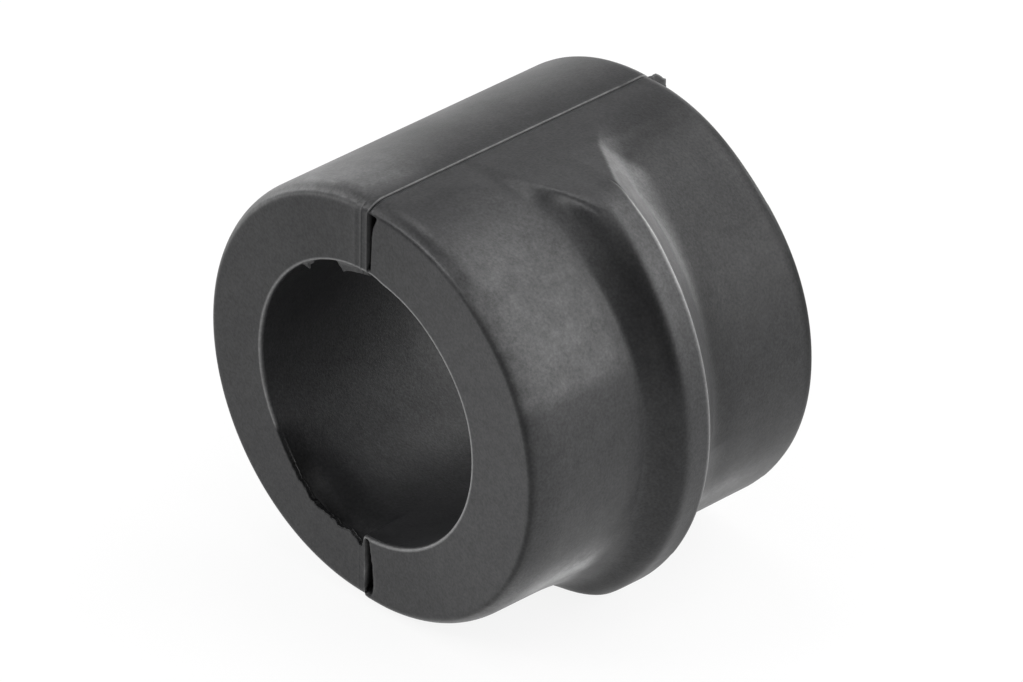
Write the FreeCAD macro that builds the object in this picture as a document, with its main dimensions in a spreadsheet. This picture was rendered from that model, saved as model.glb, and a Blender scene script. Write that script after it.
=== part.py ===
import FreeCAD, Part
import math
import os
import Sketcher

# Sway bar bushing: one moulded rubber sleeve that sits round the bar inside a clamp.
# Row frame: +Y runs along the bore from the front end to the far end, +Z is up, and the
# origin is the middle of the bore. The mould parted on the plane X = seam_x. The half on
# the -X side is plain; the half on the +X side carries a half ring that locks the sleeve
# in its clamp, and the sleeve rests on the flat under that ring.

doc = FreeCAD.newDocument("bushing")
sheet = doc.addObject("Spreadsheet::Sheet", "sizes")

SIZES = [
    ("sleeve_length", 50.0, "end face to end face"),
    ("bore_radius", 19.65, "hole for the bar"),
    ("wall", 10.35, "rubber between the bore and the round sides"),
    ("outer_radius", "=bore_radius + wall", "round sides of the sleeve, and half its height"),
    ("plain_side_shift", 0.25, "centre of the plain half's arc, towards -X"),
    ("ring_side_shift", 1.9, "centre of the ringed half's arc, towards +X"),
    ("rim_round", 2.0, "rounding of both outer rims"),
    ("mouth_bevel", 0.6, "bevel round both mouths of the bore"),
    ("ring_height", 5.7, "top of the half ring above the sleeve's round side"),
    ("ring_sink", 0.1, "how far both feet of the ring reach under that side"),
    ("ring_anchor", 4.0, "how far the ring's section goes on into the sleeve from there"),
    ("front_toe", 9.6, "start of the front slope, ahead of the middle"),
    ("front_hollow", 6.0, "hollow at the foot of the front slope"),
    ("front_slope", 50.0, "steepest part of the front slope, degrees"),
    ("front_round", 4.5, "round over the front of the ring's top"),
    ("back_edge", 2.5, "sharp back edge of the ring's top, behind the middle"),
    ("back_slope", 45.0, "slope just behind that edge, degrees"),
    ("back_hollow", 22.0, "long shallow hollow behind the ring"),
    ("flat_overrun", 1.0, "how far the flats' cut runs past the middle"),
    ("seam_x", 0.3, "plane where the two mould halves met"),
    ("groove_depth", 1.2, "sunken seam in the front face"),
    ("groove_bore_width", 0.8, "its width beside the bore"),
    ("groove_rim_width", 1.6, "its width at the outer rim"),
    ("groove_overrun", 1.0, "how far its cut runs past the bore's wall and past the rim"),
    ("tab_reach", 2.8, "how far the scrap of flash stands out of the far end"),
    ("tab_drop", 0.7, "top of the scrap, below the top of the sleeve"),
    ("tab_depth", 4.8, "height of the scrap"),
    ("tab_width", 0.7, "thickness of the scrap"),
]
sheet.set("A1", "name")
sheet.set("B1", "value")
sheet.set("C1", "what it is")
for row, (name, value, note) in enumerate(SIZES, start=2):
    sheet.set(f"A{row}", name)
    sheet.set(f"B{row}", str(value))
    sheet.set(f"C{row}", note)
    sheet.setAlias(f"B{row}", name)
doc.recompute()
size = {name: float(sheet.get(name)) for name, value, note in SIZES}

body = doc.addObject("PartDesign::Body", "bushing")
body.Label = "bushing"


def origin_plane(role):
    return next(part for part in body.Origin.OriginFeatures if part.Role == role)


def new_sketch(name, role):
    sketch = body.newObject("Sketcher::SketchObject", name)
    sketch.AttachmentSupport = [(origin_plane(role), "")]
    sketch.MapMode = "FlatFace"
    return sketch


def size_rule(sketch, constraint, name, rule):
    index = sketch.addConstraint(constraint)
    sketch.renameConstraint(index, name)
    sketch.setExpression(f"Constraints.{name}", rule)


def line(sketch, start, end):
    return sketch.addGeometry(Part.LineSegment(FreeCAD.Vector(*start, 0), FreeCAD.Vector(*end, 0)))


def arc(sketch, centre, radius, first, last):
    circle = Part.Circle(FreeCAD.Vector(*centre, 0), FreeCAD.Vector(0, 0, 1), radius)
    return sketch.addGeometry(Part.ArcOfCircle(circle, math.radians(first), math.radians(last)))


# The half ring's section, drawn with the radius to the right and the bore's direction up.
# From the front: a hollow, a straight slope and a round lead up to a level top, which ends
# in a sharp back edge over a long shallow hollow. It is turned half a turn round the bore.
top = size["outer_radius"] + size["ring_height"]
root = size["outer_radius"] - size["ring_sink"]
slope = math.radians(size["front_slope"])
inside = root - size["ring_anchor"]
hollow = size["front_hollow"]
over = size["front_round"]
hollow_end = (root + hollow * (1 - math.cos(slope)), -size["front_toe"] + hollow * math.sin(slope))
over_start_x = top - over * (1 - math.cos(slope))
over_start = (over_start_x, hollow_end[1] + (over_start_x - hollow_end[0]) / math.tan(slope))
over_centre = (top - over, over_start[1] + over * math.sin(slope))
back = size["back_hollow"]
back_slope = math.radians(size["back_slope"])
back_centre = (top + back * math.cos(back_slope), size["back_edge"] + back * math.sin(back_slope))
back_foot = math.acos((back_centre[0] - root) / back)
back_end = (root, back_centre[1] - back * math.sin(back_foot))

section = new_sketch("ring_section", "XY_Plane")
slope_deg = size["front_slope"]
front_hollow = arc(section, (root + hollow, -size["front_toe"]), hollow, 180 - slope_deg, 180)
front_slope = line(section, hollow_end, over_start)
front_round = arc(section, over_centre, over, -slope_deg, 0)
level_top = line(section, (top, over_centre[1]), (top, size["back_edge"]))
back_hollow = arc(section, back_centre, back, 180 + math.degrees(back_foot), 180 + size["back_slope"])
back_side = line(section, back_end, (inside, back_end[1]))
inner_side = line(section, (inside, back_end[1]), (inside, -size["front_toe"]))
front_side = line(section, (inside, -size["front_toe"]), (root, -size["front_toe"]))
section.addConstraint([
    Sketcher.Constraint("Tangent", front_hollow, 1, front_slope, 1),
    Sketcher.Constraint("Tangent", front_slope, 2, front_round, 1),
    Sketcher.Constraint("Tangent", front_round, 2, level_top, 1),
    Sketcher.Constraint("Coincident", level_top, 2, back_hollow, 2),
    Sketcher.Constraint("Coincident", back_hollow, 1, back_side, 1),
    Sketcher.Constraint("Coincident", back_side, 2, inner_side, 1),
    Sketcher.Constraint("Coincident", inner_side, 2, front_side, 1),
    Sketcher.Constraint("Coincident", front_side, 2, front_hollow, 2),
    Sketcher.Constraint("Horizontal", back_side),
    Sketcher.Constraint("Vertical", inner_side),
    Sketcher.Constraint("Horizontal", front_side),
    Sketcher.Constraint("Vertical", level_top),
    Sketcher.Constraint("Horizontal", front_hollow, 3, front_hollow, 2),
])
size_rule(section, Sketcher.Constraint("Radius", front_hollow, hollow), "hollow", "sizes.front_hollow")
size_rule(section, Sketcher.Constraint("Radius", front_round, over), "over", "sizes.front_round")
size_rule(section, Sketcher.Constraint("Radius", back_hollow, back), "back", "sizes.back_hollow")
size_rule(section, Sketcher.Constraint("DistanceX", -1, 1, front_hollow, 2, root), "root",
          "sizes.outer_radius - sizes.ring_sink")
size_rule(section, Sketcher.Constraint("DistanceX", -1, 1, back_hollow, 1, root), "root_back",
          "sizes.outer_radius - sizes.ring_sink")
size_rule(section, Sketcher.Constraint("DistanceX", -1, 1, level_top, 1, top), "top",
          "sizes.outer_radius + sizes.ring_height")
size_rule(section, Sketcher.Constraint("DistanceX", -1, 1, inner_side, 1, inside), "inside",
          "sizes.outer_radius - sizes.ring_sink - sizes.ring_anchor")
size_rule(section, Sketcher.Constraint("DistanceY", front_side, 1, -1, 1, size["front_toe"]), "toe",
          "sizes.front_toe")
size_rule(section, Sketcher.Constraint("DistanceY", -1, 1, level_top, 2, size["back_edge"]), "back_edge",
          "sizes.back_edge")
size_rule(section, Sketcher.Constraint("DistanceY", level_top, 2, back_hollow, 3,
                                       back * math.sin(back_slope)), "back_slope",
          "sizes.back_hollow * sin(sizes.back_slope * 1 deg)")
size_rule(section, Sketcher.Constraint("Angle", -1, 1, front_slope, 1, math.pi / 2 - slope), "slope",
          "90 - sizes.front_slope")

ring = body.newObject("PartDesign::Revolution", "half_ring")
ring.Profile = section
ring.ReferenceAxis = (section, ["V_Axis"])
ring.Angle = 180
ring.Midplane = True

# The ring stops at flats level with the top and underside of the sleeve, so that the mould
# half can be drawn off sideways. One rectangle above and one below cut it back.
reach = 2 * size["outer_radius"]
overrun = size["flat_overrun"]
flats = new_sketch("ring_flats", "XZ_Plane")
for sign, name in ((1, "upper"), (-1, "lower")):
    low = sign * size["outer_radius"]
    high = sign * reach
    level = line(flats, (-overrun, low), (reach, low))
    outer = line(flats, (reach, low), (reach, high))
    far = line(flats, (reach, high), (-overrun, high))
    inner = line(flats, (-overrun, high), (-overrun, low))
    for first, second in ((level, outer), (outer, far), (far, inner), (inner, level)):
        flats.addConstraint(Sketcher.Constraint("Coincident", first, 2, second, 1))
    flats.addConstraint([
        Sketcher.Constraint("Horizontal", level),
        Sketcher.Constraint("Horizontal", far),
        Sketcher.Constraint("Vertical", outer),
        Sketcher.Constraint("Vertical", inner),
    ])
    size_rule(flats, Sketcher.Constraint("DistanceY", -1, 1, level, 1, low), f"{name}_flat",
              f"{sign} * sizes.outer_radius")
    size_rule(flats, Sketcher.Constraint("DistanceY", -1, 1, far, 1, high), f"{name}_reach",
              f"{2 * sign} * sizes.outer_radius")
    size_rule(flats, Sketcher.Constraint("DistanceX", -1, 1, outer, 1, reach), f"{name}_side",
              "2 * sizes.outer_radius")
    size_rule(flats, Sketcher.Constraint("DistanceX", far, 2, -1, 1, overrun), f"{name}_start",
              "sizes.flat_overrun")
flat_cut = body.newObject("PartDesign::Pocket", "flat_cut")
flat_cut.Profile = flats
flat_cut.Type = "ThroughAll"
flat_cut.Midplane = True

# The sleeve's outline from the front: two half circles whose centres stand a little apart,
# joined by short flats at the top and underside.
radius = size["outer_radius"]
plain_x = -size["plain_side_shift"]
ringed_x = size["ring_side_shift"]
outline = new_sketch("sleeve_outline", "XZ_Plane")
plain_half = arc(outline, (plain_x, 0), radius, 90, 270)
underside = line(outline, (plain_x, -radius), (ringed_x, -radius))
ringed_half = arc(outline, (ringed_x, 0), radius, -90, 90)
upper_side = line(outline, (ringed_x, radius), (plain_x, radius))
outline.addConstraint([
    Sketcher.Constraint("Tangent", plain_half, 2, underside, 1),
    Sketcher.Constraint("Tangent", underside, 2, ringed_half, 1),
    Sketcher.Constraint("Tangent", ringed_half, 2, upper_side, 1),
    Sketcher.Constraint("Tangent", upper_side, 2, plain_half, 1),
    Sketcher.Constraint("Horizontal", underside),
    Sketcher.Constraint("PointOnObject", plain_half, 3, -1),
])
size_rule(outline, Sketcher.Constraint("Radius", plain_half, radius), "side", "sizes.outer_radius")
size_rule(outline, Sketcher.Constraint("DistanceX", plain_half, 3, -1, 1, -plain_x), "plain_shift",
          "sizes.plain_side_shift")
size_rule(outline, Sketcher.Constraint("DistanceX", -1, 1, ringed_half, 3, ringed_x), "ringed_shift",
          "sizes.ring_side_shift")
sleeve = body.newObject("PartDesign::Pad", "sleeve")
sleeve.Profile = outline
sleeve.Midplane = True
sleeve.setExpression("Length", "sizes.sleeve_length")
doc.recompute()

# The rims are rounded before the bore is cut, so each rim is one closed run of edges.


def rim_edges(feature, low, high):
    half = size["sleeve_length"] / 2
    names = []
    for number, edge in enumerate(feature.Shape.Edges, start=1):
        ends = [abs(abs(vertex.Point.y) - half) < 1e-4 for vertex in edge.Vertexes]
        middle = edge.valueAt((edge.FirstParameter + edge.LastParameter) / 2)
        across = math.hypot(middle.x, middle.z)
        if all(ends) and abs(abs(middle.y) - half) < 1e-4 and low < across < high:
            names.append(f"Edge{number}")
    return names


rims = body.newObject("PartDesign::Fillet", "rims")
rims.Base = (sleeve, rim_edges(sleeve, radius - 1, radius + 3))
rims.setExpression("Radius", "sizes.rim_round")

bore_circle = new_sketch("bore_circle", "XZ_Plane")
hole = bore_circle.addGeometry(
    Part.Circle(FreeCAD.Vector(0, 0, 0), FreeCAD.Vector(0, 0, 1), size["bore_radius"]))
bore_circle.addConstraint(Sketcher.Constraint("Coincident", hole, 3, -1, 1))
size_rule(bore_circle, Sketcher.Constraint("Radius", hole, size["bore_radius"]), "hole",
          "sizes.bore_radius")
bore = body.newObject("PartDesign::Pocket", "bore")
bore.Profile = bore_circle
bore.Type = "ThroughAll"
bore.Midplane = True
doc.recompute()

mouths = body.newObject("PartDesign::Chamfer", "bore_mouths")
mouths.Base = (bore, rim_edges(bore, size["bore_radius"] - 0.1, size["bore_radius"] + 0.1))
mouths.setExpression("Size", "sizes.mouth_bevel")
doc.recompute()

# The seam where the mould halves met shows in the front face as a sunken groove on each
# side of the bore, narrow beside the bore and wider at the rim.
groove = new_sketch("seam_groove", "XZ_Plane")
groove.setExpression("AttachmentOffset.Base.z", "sizes.sleeve_length / 2")
seam = size["seam_x"]
near_bore = size["bore_radius"] - size["groove_overrun"]
past_rim = size["outer_radius"] + size["groove_overrun"]
for sign, name in ((1, "upper"), (-1, "lower")):
    wall = line(groove, (seam, sign * near_bore), (seam, sign * past_rim))
    outer = line(groove, (seam, sign * past_rim), (seam + size["groove_rim_width"], sign * past_rim))
    side = line(groove, (seam + size["groove_rim_width"], sign * past_rim),
                (seam + size["groove_bore_width"], sign * near_bore))
    inner = line(groove, (seam + size["groove_bore_width"], sign * near_bore), (seam, sign * near_bore))
    for first, second in ((wall, outer), (outer, side), (side, inner), (inner, wall)):
        groove.addConstraint(Sketcher.Constraint("Coincident", first, 2, second, 1))
    groove.addConstraint([
        Sketcher.Constraint("Vertical", wall),
        Sketcher.Constraint("Horizontal", outer),
        Sketcher.Constraint("Horizontal", inner),
    ])
    size_rule(groove, Sketcher.Constraint("DistanceX", -1, 1, wall, 1, seam), f"{name}_seam",
              "sizes.seam_x")
    size_rule(groove, Sketcher.Constraint("DistanceX", outer, 1, outer, 2, size["groove_rim_width"]),
              f"{name}_rim_width", "sizes.groove_rim_width")
    size_rule(groove, Sketcher.Constraint("DistanceX", inner, 2, inner, 1, size["groove_bore_width"]),
              f"{name}_bore_width", "sizes.groove_bore_width")
    size_rule(groove, Sketcher.Constraint("DistanceY", -1, 1, wall, 1, sign * near_bore),
              f"{name}_start", f"{sign} * (sizes.bore_radius - sizes.groove_overrun)")
    size_rule(groove, Sketcher.Constraint("DistanceY", -1, 1, wall, 2, sign * past_rim),
              f"{name}_end", f"{sign} * (sizes.outer_radius + sizes.groove_overrun)")
seam_groove = body.newObject("PartDesign::Pocket", "seam_grooves")
seam_groove.Profile = groove
seam_groove.setExpression("Length", "sizes.groove_depth")
doc.recompute()

# A scrap of flash was left on the seam at the top of the far end: a thin fin with a torn,
# sloping outer edge.
far_end = size["sleeve_length"] / 2
tab_top = radius - size["tab_drop"]
tab_reach = size["tab_reach"]
tab_depth = size["tab_depth"]
tab_corners = [
    ("in_top", -0.5 * tab_reach, 0.0),
    ("high", 0.5 * tab_reach, 0.0),
    ("torn", 0.95 * tab_reach, -0.3 * tab_depth),
    ("tip", tab_reach, -0.65 * tab_depth),
    ("in_foot", -0.2 * tab_reach, -tab_depth),
]
tab_outline = new_sketch("tab_outline", "YZ_Plane")
tab_outline.setExpression("AttachmentOffset.Base.z", "sizes.seam_x")
tab_points = [(far_end + along, tab_top + up) for name, along, up in tab_corners]
tab_sides = [line(tab_outline, tab_points[i], tab_points[(i + 1) % len(tab_points)])
             for i in range(len(tab_points))]
for i, (name, along, up) in enumerate(tab_corners):
    following = tab_sides[(i + 1) % len(tab_sides)]
    tab_outline.addConstraint(Sketcher.Constraint("Coincident", tab_sides[i], 2, following, 1))
    size_rule(tab_outline, Sketcher.Constraint("DistanceX", -1, 1, tab_sides[i], 1, tab_points[i][0]),
              f"{name}_along", f"sizes.sleeve_length / 2 + {along / tab_reach:.2f} * sizes.tab_reach")
    size_rule(tab_outline, Sketcher.Constraint("DistanceY", -1, 1, tab_sides[i], 1, tab_points[i][1]),
              f"{name}_up",
              f"sizes.outer_radius - sizes.tab_drop + {up / tab_depth:.2f} * sizes.tab_depth")
tab = body.newObject("PartDesign::Pad", "flash_tab")
tab.Profile = tab_outline
tab.Midplane = True
tab.setExpression("Length", "sizes.tab_width")
doc.recompute()

body.Placement = FreeCAD.Placement(FreeCAD.Vector(0, 0, 0), FreeCAD.Rotation(0, 0, 0))
doc.recompute()

for item in doc.Objects:
    if "Invalid" in item.State or "Error" in item.State:
        raise RuntimeError(f"{item.Name} did not build: {item.State}")
    if item.isDerivedFrom("PartDesign::Feature") and (item.Shape.isNull() or not item.Shape.isValid()):
        raise RuntimeError(f"{item.Name} has no valid shape")

solid = body.Shape
if solid.isNull() or not solid.isValid() or len(solid.Solids) != 1:
    raise RuntimeError("the bushing is not one valid solid")
os.makedirs("parts", exist_ok=True)
solid.exportStep(f"parts/{body.Label}.step")
box = solid.optimalBoundingBox()
print(f"{body.Label}: {solid.Volume / 1000:.1f} cm3, X {box.XMin:.2f} to {box.XMax:.2f}, "
      f"Y {box.YMin:.2f} to {box.YMax:.2f}, Z {box.ZMin:.2f} to {box.ZMax:.2f}")
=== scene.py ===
import math

import bpy
import numpy as np
from mathutils import Matrix, Vector


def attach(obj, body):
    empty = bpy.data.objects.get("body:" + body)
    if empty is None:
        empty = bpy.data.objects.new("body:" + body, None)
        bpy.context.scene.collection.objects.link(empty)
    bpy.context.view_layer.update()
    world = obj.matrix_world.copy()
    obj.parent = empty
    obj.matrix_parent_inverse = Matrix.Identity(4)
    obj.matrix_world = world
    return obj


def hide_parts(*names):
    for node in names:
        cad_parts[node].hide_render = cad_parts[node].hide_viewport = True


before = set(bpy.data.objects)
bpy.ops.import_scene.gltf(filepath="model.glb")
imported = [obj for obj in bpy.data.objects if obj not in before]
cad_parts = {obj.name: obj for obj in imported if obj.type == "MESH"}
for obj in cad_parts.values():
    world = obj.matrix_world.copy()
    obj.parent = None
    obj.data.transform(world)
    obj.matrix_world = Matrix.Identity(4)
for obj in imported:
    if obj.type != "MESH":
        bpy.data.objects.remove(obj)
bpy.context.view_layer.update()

# ---------------------------------------------------------------------------
# The rubber bush: one piece of black rubber, moulded solid in a two-part mould and left as it
# came out, with its parting line, sunken seams and flash. It grips a bar in its bore, and a
# clamp holds it from outside by the half ring.

# Sizes in millimetres. The bore runs along Y and its axis is the origin.
MM = 0.001
HALF_LENGTH = 25.0
BORE = 19.65
SEAM = 0.3
# The sleeve: each mould half gave a half circle. The plain half came out smaller and higher.
OUTER = 30.0
RINGED_CENTRE = 1.9
PLAIN_OUTER = 29.73
PLAIN_CENTRE = -0.25
PLAIN_RAISED = 0.27
# The near rim: a tight round that goes on as a wider shoulder from a certain turn. Down the
# ringed half the shoulder is wider still.
NEAR_RIM = 1.0
SHOULDER = 4.5
SHOULDER_TURN = math.radians(54.0)
FLAT_RIM = 0.8
FLAT_SHOULDER = 14.0
FLAT_TURN = math.radians(70.0)
# The far end.
FAR_RIM = 1.8
FAR_MOUTH = 0.5
DRAWN_IN_ABOVE = 0.6
DRAWN_IN_BELOW = 0.2
# The half ring's section, from its front foot to the shallow hollow behind it.
RING_TOP = 35.7
FRONT_FOOT = -6.9
FOOT_HEIGHT = 31.3
FRONT_HOLLOW = 5.8
FRONT_ROUND = 3.0
GENTLE_SLOPE = math.radians(20.0)
STEEP_SLOPE = math.radians(62.0)
CREST = 1.7
CREST_ROUND = 0.8
BACK_FOOT = 2.44
BACK_SLOPE = math.radians(45.0)
BACK_HOLLOW = 22.0
BACK_CREASE = 0.12
# How far the ring's front comes forward close under the upper flat and near the flat's start,
# how far its back edge comes forward there, and where the front part ends.
FORWARD_UNDER_FLAT = 0.8
FORWARD_AT_START = 0.9
BACK_FORWARD = 0.4
FRONT_END = -1.0
# The mouth of the bore at the near end: its round, the flash's flap and crumb beside the upper
# seam, and the tear along the lower left. Each pair is turns in degrees, and sizes there.
MOUTH = 0.28
MOUTH_LIP = 0.35
FLAP = ([-17.4, -16.4, -14.5, -11.8, -8.0, -4.0, 0.8, 1.2],
        [0.0, 0.75, 1.0, 1.5, 1.2, 0.95, 0.5, 0.0])
CRUMB = ([-38.5, -37.0, -35.5, -34.0, -32.0, -30.0],
         [0.0, 0.5, 0.95, 0.35, 0.3, 0.0])
TEAR = ([-179.6, -178.5, -177.4, -175.1, -169.4, -164.4,
         -157.0, -151.4, -144.4, -136.3, -127.2, -120.0],
        [1.5, 1.6, 1.2, 0.45, 0.9, 0.65, 1.15, 1.25, 0.85, 0.4, 0.05, 0.0])
TEAR_RAGGED = 0.26
BEHIND_TEAR = ([-179.6, -178.0, -175.0, -170.0, -165.0, -158.0, -150.0, -143.0, -136.3, -127.2, -120.0],
               [1.7, 1.7, 1.25, 1.2, 1.25, 1.5, 1.55, 1.2, 0.45, 0.05, 0.0])
# The seams in the near face: the slits' depth and pull towards the plain half, their widths
# by distance from the bore's axis, where they end, and the thin land beside them.
SLIT_DEPTH = 2.4
SLIT_PULL = 1.1
UPPER_SLIT = ([20.0, 22.0, 26.0, 27.0, 28.2], [0.4, 0.45, 0.6, 0.9, 1.55])
LOWER_SLIT = ([20.0, 22.0, 24.0, 26.5, 28.5], [0.3, 0.5, 0.95, 1.15, 0.9])
UPPER_SLIT_END = 28.1
LOWER_SLIT_END = 27.7
LAND_RAISED = 0.12
LAND_HOLLOW = 0.1
LAND_LINE = -0.87
# The seam along the outside: a small step down to the ringed half, with a fine groove in it.
SEAM_STEP = 0.14
SEAM_GROOVE = 0.16
GROOVE_PLACE = 0.42

# Colours, as linear light.
BLACK = (0.0137, 0.0136, 0.0150, 1.0)
CLOUDY_BLACK = (0.019, 0.0193, 0.0202, 1.0)
# Next: a pale film, partly dust and partly painted highlight, the painted highlights' grey, and the painted
# shade's near black.
DUST_AND_HIGHLIGHT_GREY = (0.105, 0.105, 0.106, 1.0)
HIGHLIGHT_GREY = (0.26, 0.26, 0.26, 1.0)
SHADE_BLACK = (0.004, 0.004, 0.004, 1.0)


def soft_max(a, b, width):
    """The larger of two heights, with the crease between them filled in over width: a quarter
    of the square of what is left of width, over width, is added to the larger one."""
    near = np.clip(width - np.abs(a - b), 0.0, None) / width
    return np.maximum(a, b) + near * near * width / 4.0


def soft_step(value, start, end):
    """0 before start, 1 after end, and the smooth rise 3 t squared less 2 t cubed between."""
    t = np.clip((value - start) / (end - start), 0.0, 1.0)
    return t * t * (3.0 - 2.0 * t)


def soft_end(value, start, end):
    """1 before start and 0 after end: what soft_step leaves of 1."""
    return 1.0 - soft_step(value, start, end)


def between(value, start, full, ebb, end):
    """1 from full to ebb and 0 outside start to end: the rise of soft_step from start to full
    times the fall of soft_end from ebb to end."""
    return soft_step(value, start, full) * soft_end(value, ebb, end)


def bell(value, middle, width):
    """1 at middle, falling away to both sides as e to the minus square of distance by width."""
    return np.exp(-(((value - middle) / width) ** 2))


def waves(value, seed, length):
    """An irregular wave between about -1 and 1: the sum of six sines with seeded phases, each
    1.53 times as fine as the one before it and somewhat weaker, over 2.8."""
    total = np.zeros_like(value)
    for finer, phase in enumerate(np.random.default_rng(seed).uniform(0.0, 2.0 * math.pi, 6)):
        total += np.sin(value * 2.0 * math.pi / length * 1.53**finer + phase) / (1.0 + 0.35 * finer)
    return total / 2.8


def sleeve_outline(turn):
    """Distance from the bore's axis to the sleeve's outline in the direction turn (0 is up, a
    quarter turn is +X). Where a half circle has its centre off the axis, that is the centre's
    share of the direction plus the root of what is left of the radius. Between the two half
    circles it is the flat's height over the cosine."""
    sine, cosine = np.sin(turn), np.cos(turn)
    upright = np.maximum(np.abs(cosine), 1e-6)
    ringed_flat = OUTER / upright
    plain_flat = np.where(cosine > 0.0, PLAIN_OUTER + PLAIN_RAISED, PLAIN_OUTER - PLAIN_RAISED) / upright
    toward = PLAIN_CENTRE * sine + PLAIN_RAISED * cosine
    plain_round = toward + np.sqrt(toward**2 + PLAIN_OUTER**2 - PLAIN_CENTRE**2 - PLAIN_RAISED**2)
    ringed_round = RINGED_CENTRE * sine + np.sqrt(OUTER**2 - (RINGED_CENTRE * cosine) ** 2)
    plain = np.where(ringed_flat * sine < PLAIN_CENTRE, plain_round, plain_flat)
    ringed = np.where(ringed_flat * sine > RINGED_CENTRE, ringed_round, ringed_flat)
    return np.where(ringed_flat * sine < SEAM, plain, ringed)


def ring_section(along):
    """Radius of the half ring's surface at each place along the bore: a gentle rise, the arc of
    a hollow up to a steep slope, the arc of a round to a level top, and the arc of a rounded
    edge, with a small drop behind it to the arc of a long shallow hollow."""
    hollow_y = FRONT_FOOT - FRONT_HOLLOW * math.sin(GENTLE_SLOPE)
    hollow_r = FOOT_HEIGHT + FRONT_HOLLOW * math.cos(GENTLE_SLOPE)
    steep_y = hollow_y + FRONT_HOLLOW * math.sin(STEEP_SLOPE)
    steep_r = hollow_r - FRONT_HOLLOW * math.cos(STEEP_SLOPE)
    round_r = RING_TOP - FRONT_ROUND * (1.0 - math.cos(STEEP_SLOPE))
    round_y = steep_y + (round_r - steep_r) / math.tan(STEEP_SLOPE)
    level_y = round_y + FRONT_ROUND * math.sin(STEEP_SLOPE)
    gentle = FOOT_HEIGHT + (along - FRONT_FOOT) * math.tan(0.85 * GENTLE_SLOPE)
    hollow = hollow_r - np.sqrt(np.clip(FRONT_HOLLOW**2 - (along - hollow_y) ** 2, 0.0, None))
    steep = steep_r + (along - steep_y) * math.tan(STEEP_SLOPE)
    crown = RING_TOP - FRONT_ROUND + np.sqrt(np.clip(FRONT_ROUND**2 - (along - level_y) ** 2, 0.0, None))
    edge = RING_TOP - CREST_ROUND + np.sqrt(np.clip(CREST_ROUND**2 - (along - CREST) ** 2, 0.0, None))
    foot_r = RING_TOP - CREST_ROUND + math.sqrt(CREST_ROUND**2 - (BACK_FOOT - CREST) ** 2)
    behind_y = BACK_FOOT + BACK_HOLLOW * math.sin(BACK_SLOPE)
    behind = foot_r + BACK_HOLLOW * math.cos(BACK_SLOPE) - np.sqrt(
        np.clip(BACK_HOLLOW**2 - (np.minimum(along, behind_y) - behind_y) ** 2, 0.0, None))
    behind = behind - BACK_CREASE * bell(along, BACK_FOOT + BACK_CREASE, BACK_CREASE)
    radius = np.where(along < FRONT_FOOT, gentle, hollow)
    radius = np.where(along > steep_y, steep, radius)
    radius = np.where(along > round_y, crown, radius)
    radius = np.where(along > level_y, RING_TOP, radius)
    radius = np.where(along > CREST, edge, radius)
    return np.where(along > BACK_FOOT, behind, radius)


def ring_radius(along, turn):
    """ring_section turned round the bore, read a little further along than asked for close
    under the upper flat, so that its front and its back edge come forward there."""
    rise = ring_section(along) * np.cos(turn)
    forward = FORWARD_UNDER_FLAT * soft_step(rise, 25.0, 30.5) + FORWARD_AT_START * soft_end(turn, 0.2, 0.62)
    forward = forward * (np.cos(turn) > 0.0)
    back_forward = BACK_FORWARD * soft_end(turn, 0.56, 0.8) * soft_step(along, -1.0, 1.0)
    return ring_section(along + np.minimum(forward, np.clip(FRONT_END - along, 0.0, None)) + back_forward)


# Columns go round the bore, at these turns. They crowd together at both seams, along the edges
# of the ring's flats and where the mouth of the bore is torn.
seam_columns = np.array([
    -1.6, -1.25, -1.0, -0.9, -0.84, -0.78, -0.65, -0.3, 0.05, 0.2, 0.27, 0.33,
    0.4, 0.47, 0.55, 0.75, 0.95, 1.1, 1.25, 1.45, 1.7, 2.0, 2.4])
seam_turns = np.arctan(seam_columns / OUTER)
turns = np.concatenate([
    seam_turns,
    np.radians(np.arange(5.1, 50.0, 0.5)),
    np.radians(np.arange(50.0, 130.0, 1.0)),
    np.radians(np.arange(130.0, 175.0, 0.6)),
    math.pi - seam_turns[::-1],
    np.radians(np.arange(183.6, 240.0, 0.5)),
    np.radians(np.arange(240.0, 318.0, 2.0)),
    np.radians(np.arange(318.0, 356.6, 0.5)),
])
degrees = np.degrees(np.where(turns > math.pi, turns - 2.0 * math.pi, turns))
outline = sleeve_outline(turns)
ringed_half = np.sin(turns) > 0.02


def band(radius, along):
    """Rows of points round the bore, one for each entry of radius and along: x and z are radius
    times the turn's sine and cosine. Beside a seam the columns run parallel to it, with the
    turn whose sine is x over radius, so that its straight walls follow a column."""
    radius, along, turn = np.broadcast_arrays(radius, along, turns)
    straight = np.arcsin(np.clip(outline * np.sin(turns) / np.maximum(radius, 1.0), -0.999, 0.999))
    straight = np.where(np.cos(turns) > 0.0, straight, math.pi - straight)
    straight = straight + 2.0 * math.pi * np.round((turn - straight) / (2.0 * math.pi))
    turn = turn + soft_end(np.abs(np.sin(turns)), 0.07, 0.3) * (straight - turn)
    return np.stack([radius * np.sin(turn), along, radius * np.cos(turn)], axis=-1)


# The mouth of the bore: a small round, overhung by flash beside the upper seam, and torn back
# along the lower left, where it is sharp and the wall behind it is worn away.
flap = np.interp(degrees, *FLAP)
crumb = np.interp(degrees, *CRUMB)
lip = MOUTH_LIP * between(degrees, 1.3, 7.0, 40.0, 75.0)
ragged = TEAR_RAGGED * soft_step(-degrees, 132.0, 141.0) * waves(turns * BORE, 11, 5.0)
torn = np.clip(np.interp(degrees, *TEAR) + ragged, 0.0, None)
rounded = 1.0 - 0.85 * soft_step(-degrees, 121.0, 128.0)
worn_in = np.interp(degrees, *BEHIND_TEAR) + MOUTH * (1.0 - rounded)
mouth_edge = BORE + MOUTH + torn - lip
mouth_lip = mouth_edge - MOUTH * rounded - flap - crumb

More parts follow.
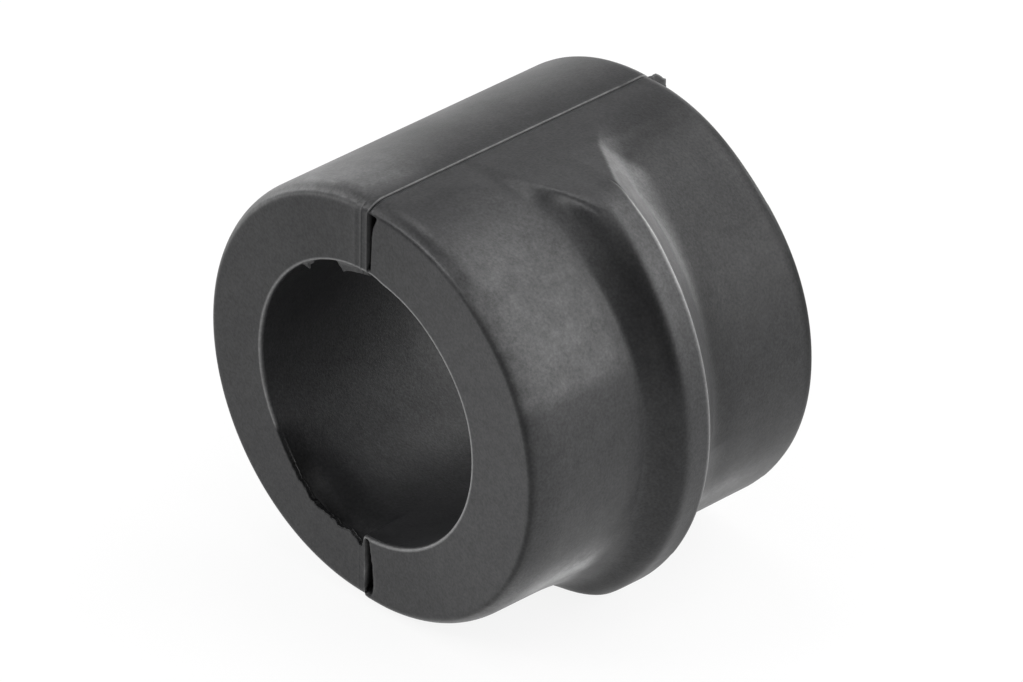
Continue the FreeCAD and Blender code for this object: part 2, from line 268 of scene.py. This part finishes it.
# The near rim: how far out and back each of its rows is, summed up from the radius of its
# bend at each step of the tip.
tip = np.radians(np.array([0, 4, 9, 14, 19, 25, 31, 37, 43, 48, 52, 56, 61, 66, 72, 78, 84, 90]))[:, None]
plain_bend = np.where(tip > SHOULDER_TURN, SHOULDER, NEAR_RIM)
flat_bend = np.where(tip > FLAT_TURN, FLAT_SHOULDER, FLAT_RIM)
down_ringed = between(turns, *np.radians([30.0, 50.0, 112.0, 130.0]))
bend = plain_bend + down_ringed * (flat_bend - plain_bend)
step_bend = (bend[1:] + bend[:-1]) / 2.0
rim_out = np.cumsum(step_bend * np.diff(np.sin(tip), axis=0), axis=0)
rim_back = np.cumsum(step_bend * -np.diff(np.cos(tip), axis=0), axis=0)
rim_start = outline - rim_out[-1]

# The outside: the sleeve and the half ring, with the crease between them filled in, cut off
# level with the flats. Towards the far end the ringed half draws in beside both flats.
side_along = np.concatenate([
    np.arange(rim_back[-1].max() - HALF_LENGTH + 0.7, -10.5, 1.1),
    np.arange(-10.5, -0.8, 0.3),
    np.arange(-0.8, 1.2, 0.5),
    np.arange(1.2, 2.9, 0.07),
    np.arange(2.95, 11.4, 0.4),
    np.arange(11.6, HALF_LENGTH - FAR_RIM - 0.5, 0.9),
])[:, None]
drawn_in = DRAWN_IN_ABOVE * bell(degrees, 42.0, 19.0) + DRAWN_IN_BELOW * bell(degrees, 125.0, 15.0)
ring = np.where(ringed_half, ring_radius(side_along, turns), 0.0)
in_front = soft_end(side_along, -2.0, 0.0)
crease = (0.3 + 1.5 * soft_end(turns, 0.5, 0.8) * in_front + 2.2 * soft_step(turns, 1.8, 2.2) * in_front
          + 1.2 * soft_step(side_along, 3.0, 8.0) * np.abs(2.0 * soft_step(turns, 0.2, 0.6) - 1.0))
side_radius = soft_max(outline - drawn_in * soft_step(side_along, 6.0, 24.0), ring, crease)
flat_height = OUTER / np.maximum(np.abs(np.cos(turns)), 1e-6)
brow = 0.15 + 1.9 * between(side_along, -12.0, -8.0, 0.0, 4.0)
side_radius = np.where(ringed_half, -soft_max(-side_radius, -flat_height, brow), side_radius)

# All bands of rows: over the near face and its rim, along the outside, over the far end, and
# back through the bore to the mouth.
face_share = np.concatenate([
    np.linspace(0.0, 0.1, 4), np.linspace(0.2, 0.8, 5), np.linspace(0.87, 1.0, 5)])[:, None]
far_edge = outline - drawn_in
far_turn = np.linspace(0.0, math.pi / 2, 8)[:-1, None]
far_share = np.linspace(0.0, 1.0, 5)[:, None]
far_mouth_turn = np.linspace(0.0, math.pi / 2, 5)[1:, None]
bore_along = np.concatenate([
    np.arange(HALF_LENGTH - 3.0, -HALF_LENGTH + 3.0, -3.6), [-22.4, -23.1, -23.6, -24.0]])[:, None]
lip_share, lip_along = np.array([[0.2, -24.12], [0.6, -24.28], [0.93, -24.38], [1.0, -24.45]]).T[:, :, None]
round_share, round_along = np.array([[0.1, -24.52], [0.6, -24.62], [0.9, -24.74]]).T[:, :, None]
points = np.concatenate([
    band(mouth_edge + face_share * (rim_start - mouth_edge), -HALF_LENGTH),
    band(rim_start + rim_out, rim_back - HALF_LENGTH),
    band(side_radius, side_along),
    band(far_edge - FAR_RIM * (1.0 - np.cos(far_turn)), HALF_LENGTH - FAR_RIM * (1.0 - np.sin(far_turn))),
    band(far_edge - FAR_RIM - far_share * (far_edge - FAR_RIM - BORE - FAR_MOUTH), HALF_LENGTH),
    band(BORE + FAR_MOUTH * (1.0 - np.sin(far_mouth_turn)),
         HALF_LENGTH - FAR_MOUTH * (1.0 - np.cos(far_mouth_turn))),
    band(BORE + worn_in * soft_step(-bore_along, 19.5, 25.0), bore_along),
    band(BORE + worn_in + lip_share * (mouth_lip - BORE - worn_in), lip_along),
    band(mouth_lip + round_share * (mouth_edge - 0.16 * rounded - mouth_lip), round_along),
    band((mouth_edge - 0.1 * rounded)[None], -24.9),
])

# The seams in the near face. At each the plain half ends in a thin land with fine raised
# edges, and beyond it lies a dark slit. The one above widens towards the rim. Here x, y and z
# are the points' own values, so what is added to them moves the surface.
x, y, z = points[..., 0], points[..., 1], points[..., 2]
height = np.abs(z)
above = z > 0.0
on_face = soft_step(-y, HALF_LENGTH - 1.9, HALF_LENGTH - 0.2)
slit_width = np.where(above, np.interp(height, *UPPER_SLIT), np.interp(height, *LOWER_SLIT))
slit_side = np.where(above, 0.25, 0.5)
slit_end = np.where(above, UPPER_SLIT_END, LOWER_SLIT_END)
slit = (x > SEAM) * soft_end(x, SEAM + 0.45 * slit_width, SEAM + slit_width + slit_side)
slit = slit * soft_step(height, BORE + 0.2, BORE + 1.4) * soft_end(height - slit_end, 0.0, 0.6)
y += on_face * SLIT_DEPTH * slit
x -= on_face * SLIT_PULL * slit
land = soft_step(x, -3.2, -0.95) * (x <= SEAM + 0.01) * np.where(above, 1.0, 0.15)
y += on_face * LAND_RAISED * (1.0 - land)
land_edges = np.clip(bell(x, LAND_LINE, 0.07) + bell(x, SEAM - 0.04, 0.07), 0.0, 1.0)
y += on_face * LAND_HOLLOW * land * (1.0 - land_edges) * (x > -1.6)

# Along the outside the plain half stands a little proud of the other half at the seam.
radial = np.hypot(x, z)
outer_skin = soft_step(radial, OUTER - 2.0, OUTER - 0.4) * (height > 20.0)
drop = (x > SEAM) * (1.0 - 0.6 * soft_step(x, 0.4, 5.0)) * SEAM_STEP
sink = outer_skin * (drop + bell(x, GROOVE_PLACE, 0.12) * SEAM_GROOVE)
x -= sink * x / radial
z -= sink * z / radial

# Where the rubber looks different, by the turn in degrees and the place along the bore.
# First a pale mottled film, partly dust and partly painted highlight: on the near part of both
# sides, on the ring's top and close behind it, below at both ends, and at the far rim. Along the
# upper left outline, close behind the ring's crest and below it is painted highlight. behind is
# the part behind the ring's flank, which gets painted shade.
around = np.degrees(np.arctan2(x, z))
from_rim = outline - radial
skin = soft_step(radial, outline - 2.0, outline - 0.4)
ringed_dust_and_highlight = between(around, 12.0, 42.0, 66.0, 71.0) * (1.0 - 0.8 * soft_step(y, -9.5, -6.0)) * (y < 0.0)
plain_dust_and_highlight = between(around, -46.0, -30.0, -6.0, 1.0) * soft_end(y, -20.0, -4.0)
corner_highlight = between(-around, 31.0, 44.0, 50.0, 85.0) * soft_end(y, 2.0, 14.0)
behind_from = np.minimum(8.0 + 0.243 * (around - 16.0), 10.75 - 0.11 * (around - 27.5))
behind = soft_step(y, behind_from - 1.6, behind_from + 0.4)
behind = behind * soft_step(around + 0.5 * np.clip(y - 8.0, 0.0, 10.0), 11.0, 24.0)
flank_highlight = soft_step(y, BACK_FOOT - 0.1, BACK_FOOT + 0.2) * (1.0 - behind)
flank_highlight = flank_highlight * between(around, 15.0, 17.0, 24.0, 72.0)
flank_highlight = flank_highlight * (1.7 - 0.7 * soft_step(around, 25.0, 38.0)) * soft_step(OUTER - z, 0.02, 0.2)
flank_highlight = flank_highlight * (1.0 - soft_step(y, 3.2, 8.5) * (0.4 + 0.5 * soft_step(around, 26.0, 36.0)))
top_dust_and_highlight = between(y, -2.0, -0.6, 2.2, 2.5) * between(around, 29.0, 36.0, 46.0, 70.0)
low_highlight = between(around, 110.0, 125.0, 140.0, 170.0) * soft_end(y, -10.5, -7.0)
low_highlight = low_highlight * (0.55 + 0.45 * soft_step(y, -21.0, -16.0))
far_low_highlight = between(around, 108.0, 119.0, 130.0, 165.0) * soft_step(y, 3.0, 8.0)
far_low_highlight = far_low_highlight * (1.0 - 0.6 * soft_step(y, 11.0, 21.0))
far_rim_bloom = soft_step(y, 19.0, 23.0) * between(around, 12.0, 20.0, 35.0, 60.0)
dust_and_highlight = skin * (ringed_dust_and_highlight + 1.15 * plain_dust_and_highlight + 1.5 * corner_highlight + 1.3 * flank_highlight + 0.5 * top_dust_and_highlight
                + 2.2 * low_highlight + 1.2 * far_low_highlight + 0.4 * far_rim_bloom)

# Painted light and shade, as a factor on the colour and on the shine. On the outside: painted
# shade on the plain side, in the valley before the ring, behind the ring's flank and at the far
# rim, and painted highlights along both streaks below.
in_valley = 0.4 * soft_step(y, -6.9, -6.1) + 0.6 * np.clip((y + 6.2) / 4.0, 0.0, 1.0)
in_valley = in_valley * soft_end(y, -2.3, -1.3) * (around > 0.0) * (around < 160.0)
side_light_and_shade = (
    1.0
    - 0.26 * (around < 0.0) * soft_step(y, -20.0, -10.0)
    - 0.13 * (around > 0.0) * soft_end(around, 6.0, 24.0)
    - 0.25 * bell(y, 7.5, 2.2) * soft_step(around, 30.0, 38.0) * (around < 100.0)
    - 0.6 * soft_step(y, 22.6, 24.0) * between(around, 10.0, 30.0, 85.0, 120.0)
    - 0.3 * behind * (around < 140.0)
    + 0.1 * soft_step(around, 50.0, 80.0) * (y > 3.0)
    - 0.62 * in_valley * soft_step(around, 30.0, 50.0) * (1.0 - 0.45 * soft_step(around, 62.0, 85.0))
    - 0.1 * bell(around, 108.0, 12.0) * (y < -6.0)
    + 0.5 * bell(around, 119.5, 4.0) * between(y, 4.0, 8.0, 14.0, 21.0)
    + 0.8 * bell(around, 125.0, 5.0) * between(y, -23.0, -17.0, -11.0, -8.0)
)
# On the faces and in the bore, painted light and shade: lighter towards +X, darker towards the plain half's
# top and at the bottom, and lighter in the bore.
face_light_and_shade = 0.985 + 0.165 * np.sin(np.radians(around)) - 0.19 * bell(around, -14.0, 45.0)
face_light_and_shade = face_light_and_shade - 0.13 * bell(np.abs(around), 180.0, 40.0)
face_light_and_shade = face_light_and_shade + (1.06 - face_light_and_shade) * soft_end(radial, BORE, BORE + 0.3)
plain_rim = between(-around, -1.0, 4.0, 60.0, 75.0)
# A painted dark line along the near rim's tight round, and painted shade on the plain half's shoulder.
rim_painted_shade = between(around, 28.0, 45.0, 140.0, 155.0) * bell(from_rim, 1.2, 0.42) * soft_step(-y, 23.6, 24.3)
rim_painted_shade = rim_painted_shade + 0.75 * plain_rim * bell(from_rim, 0.45, 0.4) * soft_step(-y, 21.5, 23.0)
painted_light_and_shade = (face_light_and_shade + skin * (side_light_and_shade - face_light_and_shade)) * (1.0 - 0.42 * rim_painted_shade)

# Painted highlights, pale: the ring's back edge, the seam's lip along the top and in the near face
# below, a streak under the near end, the plain half's near rim, and the mouth where it is whole.
# The mouth's edge is the first row and the last two.
on_crest = soft_step(radial, OUTER + 2.5, OUTER + 3.5) * soft_step(around, 32.0, 38.0)
seam_lip = outer_skin * bell(x, SEAM - 0.04, 0.05) * (1.0 - 0.85 * bell(y, 20.2, 1.7))
low_seam_lip = on_face * (z < 0.0) * bell(x, SEAM - 0.08, 0.09) * soft_step(height, 21.0, 22.0)
streak = skin * bell(around, 126.0, 5.0) * between(y, -22.5, -17.0, -10.5, -7.5)
painted_highlight = np.maximum.reduce([
    on_crest * between(y, 1.4, 2.1, 2.3, 2.4) * (1.0 - 0.45 * soft_step(around, 45.0, 75.0)),
    seam_lip * (0.8 + 0.3 * waves(y, 8, 4.0)),
    low_seam_lip * np.clip(0.35 + 0.5 * waves(z, 12, 5.0), 0.0, 1.0),
    0.32 * streak * np.clip(0.7 + 0.5 * waves(y + 0.3 * around, 13, 6.0), 0.0, 1.0),
    0.3 * plain_rim * bell(from_rim, 1.3, 0.22) * (y < -24.0),
])
whole = soft_end(-degrees, 121.0, 125.0)
painted_highlight[0] = whole
painted_highlight[-1] = 0.7 * whole
painted_highlight[-2] = 0.3 * whole

# The flash that hangs into the mouth gets painted shade, with a painted highlight along its
# edge. It takes up the last seven rows, and its edge is the fifth from the end.
hanging = soft_step(flap + crumb, 0.1, 0.5)
painted_light_and_shade[-7:] *= 1.0 - 0.4 * hanging
painted_highlight[-5] = 0.45 * hanging

# Painted shade, dark and dull: in the slits, in the seam's groove, behind the ring's back edge and behind the
# tear.
in_bore = (radial < BORE + 2.0) * (np.arange(len(points))[:, None] > len(points) // 2)
near_tear = soft_step(-degrees, 116.0, 142.0) * (1.0 - 0.6 * soft_step(-degrees, 165.0, 179.0))
near_tear = near_tear + 0.4 * soft_step(degrees, 150.0, 179.0)
painted_shade = np.maximum.reduce([
    on_face * slit,
    0.6 * outer_skin * bell(x, GROOVE_PLACE, 0.08),
    0.35 * on_crest * bell(y, 2.52, 0.1),
    0.42 * near_tear * in_bore * soft_step(-y, 20.0, 24.2),
])


def smooth_piece(name, points, faces, looks):
    """A smooth piece from points in millimetres and faces of four points each, with every one
    of looks kept as a value at each point."""
    mesh = bpy.data.meshes.new(name)
    mesh.from_pydata((points.reshape(-1, 3) * MM).tolist(), [], faces.reshape(-1, 4).tolist())
    mesh.polygons.foreach_set("use_smooth", np.ones(len(mesh.polygons), dtype=bool))
    for look, values in looks.items():
        layer = mesh.attributes.new(look, "FLOAT", "POINT")
        layer.data.foreach_set("value", values.ravel().astype(np.float32))
    mesh.update()
    piece = bpy.data.objects.new(name, mesh)
    bpy.context.scene.collection.objects.link(piece)
    return piece


# The last row joins the first, and the last column joins the first, so the surface is closed.
corner = np.arange(points[..., 0].size).reshape(points.shape[:2])
next_row = np.roll(corner, -1, axis=0)
bush_faces = np.stack([corner, np.roll(corner, -1, axis=1), np.roll(next_row, -1, axis=1), next_row], axis=-1)
bush = smooth_piece("rubber_bush", points, bush_faces,
                    {"painted_light_and_shade": painted_light_and_shade, "dust_and_highlight": dust_and_highlight, "painted_highlight": painted_highlight, "painted_shade": painted_shade})

# Black rubber, matt, with a fine grain and cloudy patches. The pale film is partly dust and partly
# painted highlight, the painted highlights are pale, the painted shade is darker and dull, and the
# painted light and shade scale the colour and the shine.
rubber = bpy.data.materials.new("black_rubber")
rubber.use_nodes = True
nodes, links = rubber.node_tree.nodes, rubber.node_tree.links
surface = nodes["Principled BSDF"]
place = nodes.new("ShaderNodeTexCoord")


def noise(scale, detail, roughness):
    """Noise on the rubber's own coordinates, in features per metre."""
    node = nodes.new("ShaderNodeTexNoise")
    node.inputs["Scale"].default_value = scale
    node.inputs["Detail"].default_value = detail
    node.inputs["Roughness"].default_value = roughness
    links.new(place.outputs["Object"], node.inputs["Vector"])
    return node.outputs["Fac"]


def spread(value, low, high, to_low, to_high):
    """value, clipped to low..high, as to_low..to_high."""
    node = nodes.new("ShaderNodeMapRange")
    for socket, limit in (("From Min", low), ("From Max", high), ("To Min", to_low), ("To Max", to_high)):
        node.inputs[socket].default_value = limit
    links.new(value, node.inputs["Value"])
    return node.outputs["Result"]


def times(first, second):
    """One value times the other."""
    node = nodes.new("ShaderNodeMath")
    node.operation = "MULTIPLY"
    links.new(first, node.inputs[0])
    links.new(second, node.inputs[1])
    return node.outputs["Value"]


def look_here(name):
    """The value that the mesh keeps under name."""
    node = nodes.new("ShaderNodeAttribute")
    node.attribute_name = name
    return node.outputs["Fac"]


def tint(factor, under, over):
    """The colour under, changed to the colour over where factor is 1."""
    node = nodes.new("ShaderNodeMix")
    node.data_type = "RGBA"
    links.new(factor, node.inputs["Factor"])
    links.new(under, node.inputs["A"])
    node.inputs["B"].default_value = over
    return node.outputs["Result"]


black = nodes.new("ShaderNodeRGB")
black.outputs["Color"].default_value = BLACK
colour = tint(spread(noise(75.0, 5.0, 0.6), 0.3, 0.7, 0.0, 1.0), black.outputs["Color"], CLOUDY_BLACK)
mottle = spread(noise(330.0, 7.0, 0.85), 0.34, 0.66, 0.1, 0.68)
# A pale mottled film, partly dust and partly painted highlight.
colour = tint(times(look_here("dust_and_highlight"), mottle), colour, DUST_AND_HIGHLIGHT_GREY)
# Painted highlights, pale.
colour = tint(spread(look_here("painted_highlight"), 0.0, 1.0, 0.0, 0.8), colour, HIGHLIGHT_GREY)
# Painted shade, nearly black.
colour = tint(spread(look_here("painted_shade"), 0.0, 0.6, 0.0, 0.9), colour, SHADE_BLACK)
fine_grain = spread(noise(2600.0, 2.0, 0.5), 0.3, 0.7, 0.86, 1.14)
coarse_grain = spread(noise(520.0, 3.0, 0.6), 0.3, 0.7, 0.93, 1.07)
# The painted light and shade, times the grain, scales the colour and the shine.
grained_light_and_shade = times(look_here("painted_light_and_shade"), times(fine_grain, coarse_grain))
shaded = nodes.new("ShaderNodeVectorMath")
shaded.operation = "SCALE"
links.new(colour, shaded.inputs["Vector"])
links.new(grained_light_and_shade, shaded.inputs["Scale"])
links.new(shaded.outputs["Vector"], surface.inputs["Base Color"])
# Painted shade also takes away shine.
dull_shade = spread(look_here("painted_shade"), 0.0, 0.6, 0.5, 0.1)
links.new(times(grained_light_and_shade, dull_shade), surface.inputs["Specular IOR Level"])
links.new(spread(noise(110.0, 4.0, 0.6), 0.3, 0.7, 0.38, 0.46), surface.inputs["Roughness"])
bump = nodes.new("ShaderNodeBump")
bump.inputs["Strength"].default_value = 0.22
bump.inputs["Distance"].default_value = 0.0001
links.new(noise(3400.0, 3.0, 0.6), bump.inputs["Height"])
links.new(bump.outputs["Normal"], surface.inputs["Normal"])
bush.data.materials.append(rubber)

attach(bush, "root")
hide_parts("bushing")

# ---------------------------------------------------------------------------
# The scrap of flash: rubber that was squeezed out between the mould halves at the far end of
# the upper seam, and left on the bush as a thin crumpled fin that stands out from the far end.

# Its root lies inside the bush. The reach is how far along the bore it goes, from its upper
# edge down to its lower one.
FIN_ROOT = 24.0
FIN_TOP = 29.36
FIN_DEPTH = 3.3
FIN_REACH = ([0.0, 0.1, 0.25, 0.36, 0.42, 0.6, 0.8, 0.92, 1.0],
             [26.0, 26.5, 27.0, 27.3, 27.68, 27.74, 27.76, 27.6, 26.2])
FIN_HALF_ROOT = 0.3
FIN_THINNER = 0.13

# Lengthwise goes from the root to the tip and down from the upper edge to the lower one. The
# two sides stand half a thickness off a middle that leans in irregular waves, and the half
# thickness falls to nearly nothing at the edges and the tip.
lengthwise, down = np.meshgrid(np.linspace(0.0, 1.0, 13), np.linspace(0.0, 1.0, 15), indexing="ij")
fin_y = FIN_ROOT + lengthwise * (np.interp(down, *FIN_REACH) - FIN_ROOT)
fin_z = FIN_TOP - down * FIN_DEPTH - 0.12 * lengthwise * (1.0 - down)
full_at = np.sqrt(np.clip(1.0 - (2.0 * down - 1.0) ** 8, 0.0, 1.0))
half = (FIN_HALF_ROOT - FIN_THINNER * lengthwise) * full_at + 0.02
half = half * np.sqrt(np.clip(1.0 - lengthwise**10, 0.0, 1.0)) + 0.01
lean = 0.10 * waves(fin_y, 5, 2.2) + 0.12 * waves(fin_z, 6, 3.1)
fin = np.stack([
    np.stack([SEAM + lean + half, fin_y, fin_z], axis=-1),
    np.stack([SEAM + lean - half, fin_y, fin_z], axis=-1)])

# One side, the other side turned round, and a wall along the border between them.
count = lengthwise.size
spot = np.arange(count).reshape(lengthwise.shape)
one_side = np.stack([spot[:-1, :-1], spot[:-1, 1:], spot[1:, 1:], spot[1:, :-1]], axis=-1).reshape(-1, 4)
border = np.concatenate([spot[0, :-1], spot[:-1, -1], spot[-1, :0:-1], spot[:0:-1, 0]])
following = np.roll(border, -1)
wall = np.stack([border, border + count, following + count, following], axis=-1)
fin_faces = np.concatenate([one_side, (one_side + count)[:, ::-1], wall])
# The fin keeps its painted light and shade at one, so it is left unchanged.
scrap = smooth_piece("flash_scrap", fin, fin_faces, {"painted_light_and_shade": np.ones(2 * count)})
scrap.data.materials.append(rubber)

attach(scrap, "root")
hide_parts("bushing")

# ---------------------------------------------------------------------------
# The table: a plain white sweep that the bush lies on. It takes the bush's shadow, and what
# the camera and reflections see of it is nearly all its own white.
TABLE_SIDE = 10.0
TABLE_HEIGHT = -0.03
TABLE_WHITE = (0.9, 0.9, 0.9, 1.0)
OWN_WHITE = 0.88

table_mesh = bpy.data.meshes.new("table_top")
table_mesh.from_pydata([
    (-TABLE_SIDE, -TABLE_SIDE, TABLE_HEIGHT), (TABLE_SIDE, -TABLE_SIDE, TABLE_HEIGHT),
    (TABLE_SIDE, TABLE_SIDE, TABLE_HEIGHT), (-TABLE_SIDE, TABLE_SIDE, TABLE_HEIGHT)], [], [(0, 1, 2, 3)])
table = bpy.data.objects.new("table_top", table_mesh)
bpy.context.scene.collection.objects.link(table)

white = bpy.data.materials.new("white_table")
white.use_nodes = True
table_nodes, table_links = white.node_tree.nodes, white.node_tree.links
paint = table_nodes["Principled BSDF"]
paint.inputs["Base Color"].default_value = TABLE_WHITE
paint.inputs["Roughness"].default_value = 0.9
glow = table_nodes.new("ShaderNodeEmission")
glow.inputs["Color"].default_value = (1.0, 1.0, 1.0, 1.0)
glow.inputs["Strength"].default_value = 1.0
ray = table_nodes.new("ShaderNodeLightPath")
camera_or_gloss = table_nodes.new("ShaderNodeMath")
camera_or_gloss.operation = "MAXIMUM"
table_links.new(ray.outputs["Is Camera Ray"], camera_or_gloss.inputs[0])
table_links.new(ray.outputs["Is Glossy Ray"], camera_or_gloss.inputs[1])
seen = table_nodes.new("ShaderNodeMath")
seen.operation = "MAXIMUM"
table_links.new(camera_or_gloss.outputs["Value"], seen.inputs[0])
table_links.new(ray.outputs["Is Transmission Ray"], seen.inputs[1])
own_share = table_nodes.new("ShaderNodeMath")
own_share.operation = "MULTIPLY"
own_share.inputs[1].default_value = OWN_WHITE
table_links.new(seen.outputs["Value"], own_share.inputs[0])
mixed = table_nodes.new("ShaderNodeMixShader")
table_links.new(own_share.outputs["Value"], mixed.inputs["Fac"])
table_links.new(paint.outputs["BSDF"], mixed.inputs[1])
table_links.new(glow.outputs["Emission"], mixed.inputs[2])
table_links.new(mixed.outputs["Shader"], table_nodes["Material Output"].inputs["Surface"])
table_mesh.materials.append(white)

# ---------------------------------------------------------------------------
# The light: soft square lamps that hang all round the bush, some strong and some weak, as the
# bright and dim parts of a white photo tent, and a faint even glow from the room.
ROOM_GLOW = 0.02
LAMP_SIDE = 0.5
LAMP_AWAY = 1.3

room = bpy.data.worlds.new("studio")
bpy.context.scene.world = room
room.use_nodes = True
air = room.node_tree.nodes["Background"]
air.inputs["Color"].default_value = (1.0, 1.0, 1.0, 1.0)
air.inputs["Strength"].default_value = ROOM_GLOW


def hang_lamp(name, turn, lift, power):
    """A square lamp that faces the bush. turn is in degrees from the near face's side towards
    +X, lift is in degrees above level, and power is in watts. It hangs LAMP_AWAY off: the
    turn's sine and cosine times the lift's cosine to the side, and the lift's sine up."""
    turn, lift = math.radians(turn), math.radians(lift)
    hung_at = LAMP_AWAY * Vector((
        math.sin(turn) * math.cos(lift), -math.cos(turn) * math.cos(lift), math.sin(lift)))
    light = bpy.data.lights.new(name, "AREA")
    light.energy = power
    light.size = LAMP_SIDE
    lamp = bpy.data.objects.new(name, light)
    bpy.context.scene.collection.objects.link(lamp)
    lamp.location = hung_at
    lamp.rotation_euler = (-hung_at).to_track_quat("-Z", "Y").to_euler()


for lamp_name, lamp_turn, lamp_lift, lamp_power in [
    ("front_middle", 0, 40, 2.8),
    ("front_right_middle", 45, 40, 0.8),
    ("front_right_high", 60, 65, 1.4),
    ("right_low", 90, 12, 0.9),
    ("right_middle", 90, 40, 1.2),
    ("right_back_low", 115, 12, 2.2),
    ("right_back_middle", 115, 35, 2.7),
    ("back_right_low", 135, 12, 1.0),
    ("back_right_middle", 135, 32, 1.6),
    ("back_right_high", 135, 60, 2.0),
    ("back_low_right", 160, 12, 3.6),
    ("back_middle_right", 160, 35, 0.85),
    ("back_low", 180, 12, 4.0),
    ("back_middle", 180, 40, 3.0),
    ("back_high", 180, 65, 1.2),
    ("back_low_left", 200, 12, 1.6),
    ("back_middle_left", 205, 35, 0.35),
    ("back_left_low", 225, 12, 0.85),
    ("back_left_middle", 226, 32, 0.25),
    ("left_high", 240, 65, 3.4),
    ("left_back_low", 250, 12, 2.6),
    ("left_low", 275, 12, 3.4),
    ("left_middle", 290, 40, 2.9),
    ("front_left_middle", 330, 40, 5.5),
]:
    hang_lamp(lamp_name, lamp_turn, lamp_lift, lamp_power)

# ---------------------------------------------------------------------------
# The camera: it stands about 1.75 m off, to the right of the near face and above it, with a
# long lens, and is rolled a little.
CAMERA_TURN = math.radians(46.083)
CAMERA_LIFT = math.radians(31.128)
CAMERA_ROLL = math.radians(0.779)
CAMERA_AWAY = 1.7469
CAMERA_RIGHT = 0.000742
CAMERA_DOWN = 0.00049
SENSOR_WIDE = 36.0
LENS = 476.7

camera_data = bpy.data.cameras.new("camera")
camera = bpy.data.objects.new("camera", camera_data)
bpy.context.scene.collection.objects.link(camera)
back = Vector((math.sin(CAMERA_TURN) * math.cos(CAMERA_LIFT),
               -math.cos(CAMERA_TURN) * math.cos(CAMERA_LIFT), math.sin(CAMERA_LIFT)))
sideways = Vector((0, 0, 1)).cross(back).normalized()
upwards = back.cross(sideways)
right = sideways * math.cos(CAMERA_ROLL) + upwards * math.sin(CAMERA_ROLL)
up = upwards * math.cos(CAMERA_ROLL) - sideways * math.sin(CAMERA_ROLL)
stand = back * CAMERA_AWAY + right * CAMERA_RIGHT - up * CAMERA_DOWN
camera.matrix_world = Matrix.Translation(stand) @ Matrix((right, up, back)).transposed().to_4x4()
camera_data.sensor_width = SENSOR_WIDE
camera_data.lens = LENS
camera_data.clip_end = 20.0
bpy.context.scene.camera = camera
bpy.context.scene.view_settings.view_transform = "Standard"
